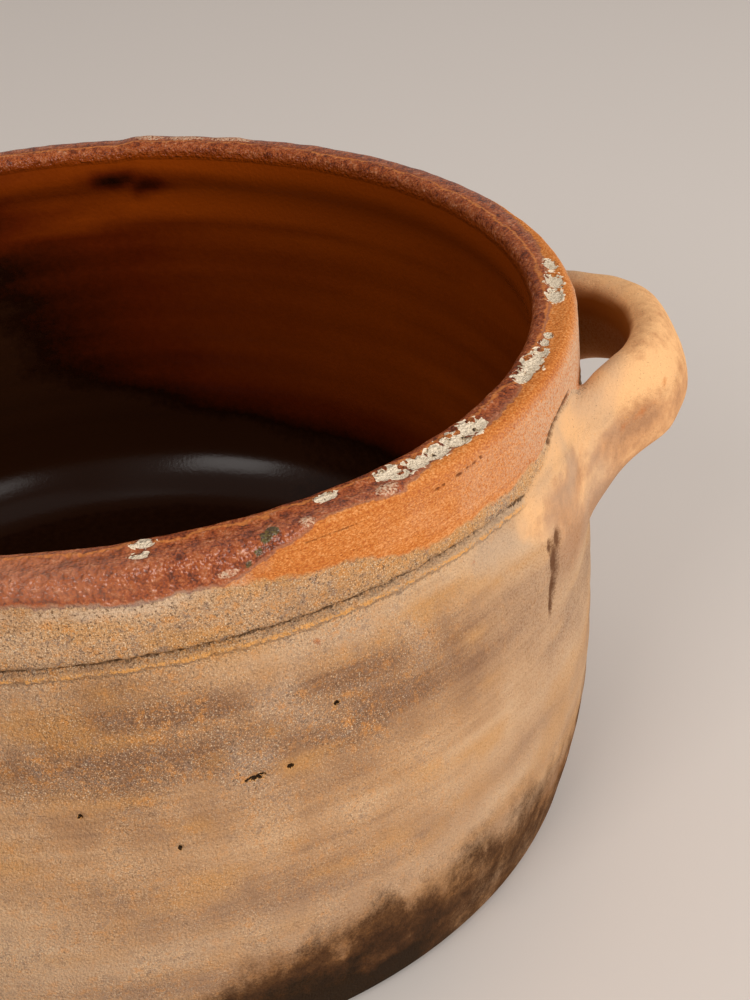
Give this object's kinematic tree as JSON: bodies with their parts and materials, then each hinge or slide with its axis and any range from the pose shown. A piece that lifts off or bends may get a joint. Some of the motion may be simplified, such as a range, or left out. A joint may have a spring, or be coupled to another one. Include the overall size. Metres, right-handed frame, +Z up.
{
  "type": "terracotta cooking pot",
  "caption": "Round terracotta cooking pot with a folded rim over a cut groove and a loop handle on each side, glazed inside and bare outside.",
  "frame": {"origin": "centre of the flat base, on the surface that the pot stands on", "axes": "+Z up along the pot's own axis; the handles stand out along +X and -X"},
  "size_m": [0.2898, 0.244, 0.1286],
  "materials": {
    "fired_clay": "bare matt clay outside, dark red-brown glaze inside and over the rim"
  },
  "bodies": {
    "root": {"pot": "fired_clay"}
  },
  "joints": []
}
